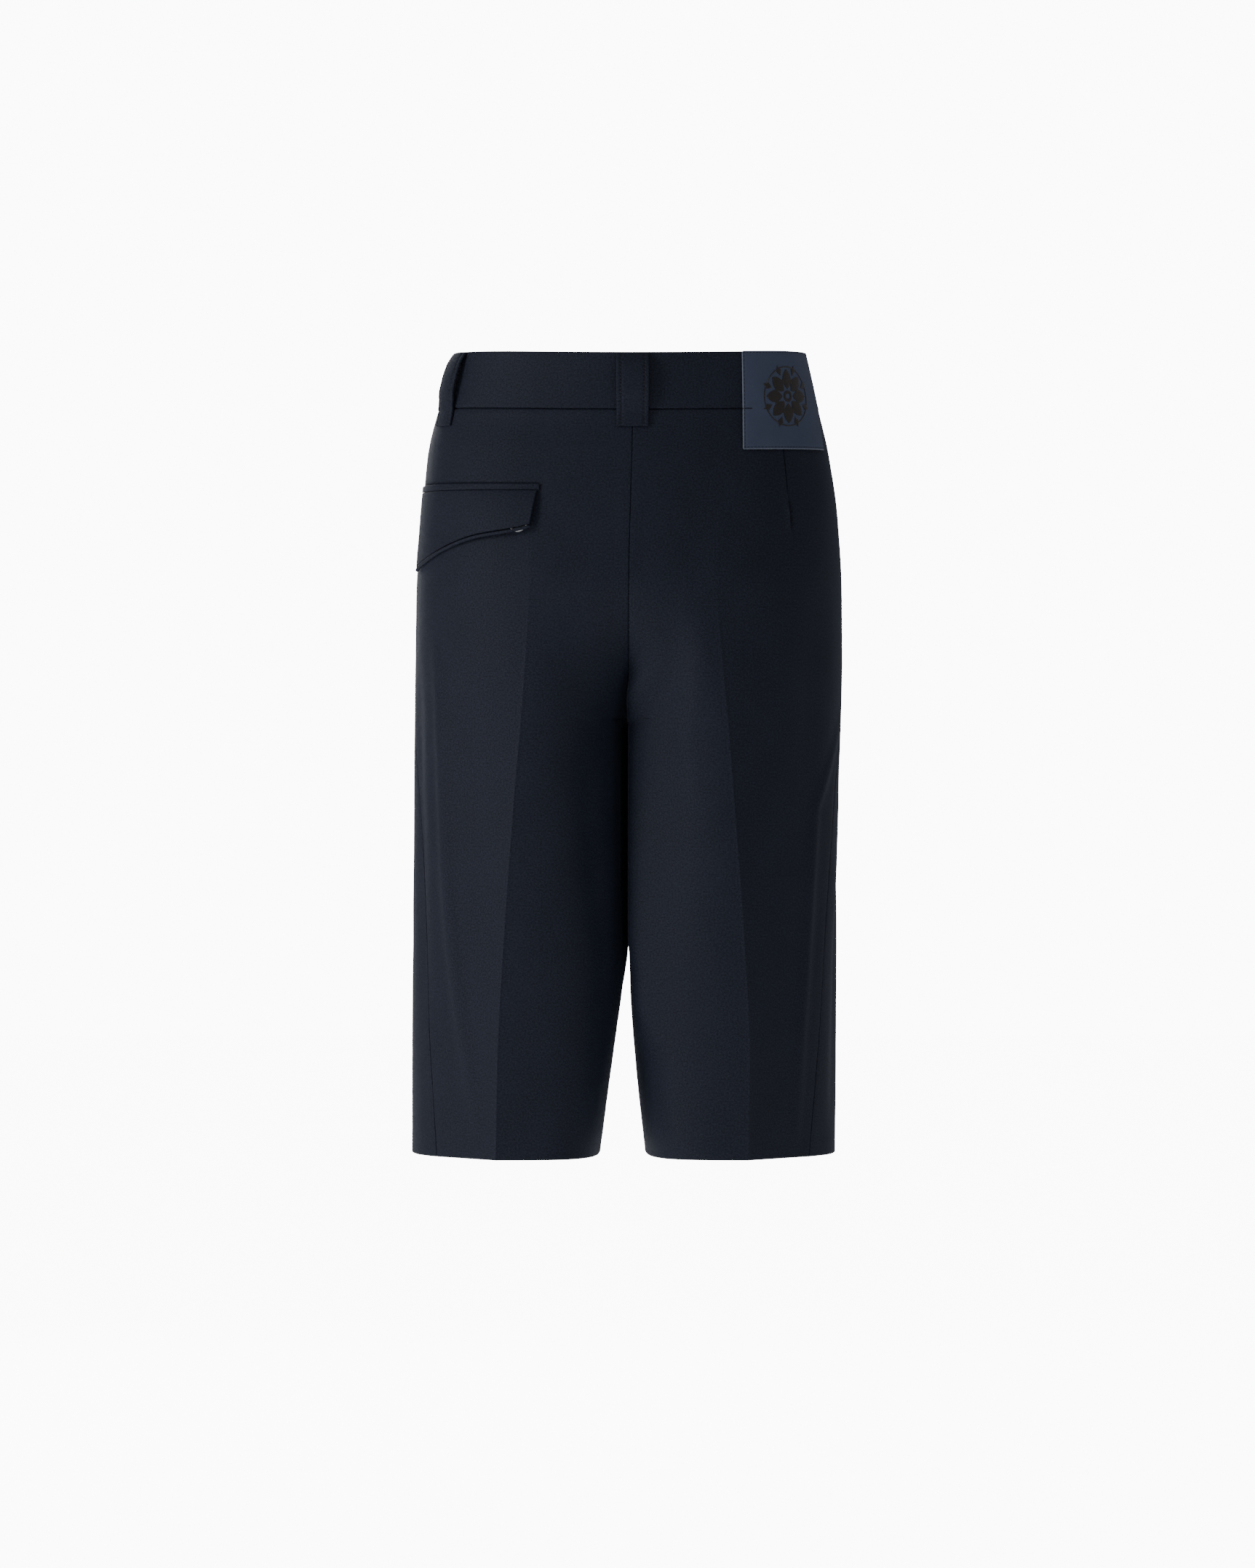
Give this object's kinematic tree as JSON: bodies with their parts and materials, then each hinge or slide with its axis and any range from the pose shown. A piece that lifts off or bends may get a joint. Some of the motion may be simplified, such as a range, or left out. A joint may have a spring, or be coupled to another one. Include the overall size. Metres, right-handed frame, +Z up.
{
  "type": "bermuda shorts",
  "caption": "Knee-length tailored shorts in dark navy wool twill with pressed creases, belt loops, a leather patch and a slanted flap pocket, filled out as worn and open at waist and hems",
  "frame": {"origin": "centre of the waist where the wearer holds the shorts up, about halfway up the waistband", "axes": "+Z up; the front faces -Y and the back +Y; +X is the wearer's left"},
  "size_m": [0.333, 0.2312, 0.6199],
  "materials": {
    "navy_twill": "fine wool twill, soft sheen",
    "blue_leather": "smooth, semi-matt",
    "grey_button": "polished rim"
  },
  "bodies": {
    "root": {"back_left": "navy_twill", "back_right": "navy_twill", "front_left": "navy_twill", "front_right": "navy_twill", "waistband_left": "navy_twill", "waistband_right": "navy_twill", "loop_centre_back": "navy_twill", "loop_left_back": "navy_twill", "loop_left_front": "navy_twill", "loop_right_front": "navy_twill", "pocket_welt": "navy_twill", "pocket_flap": "navy_twill", "flap_binding": "navy_twill", "label_patch": "blue_leather", "pocket_button": "grey_button", "waist_button": "grey_button"}
  },
  "joints": []
}
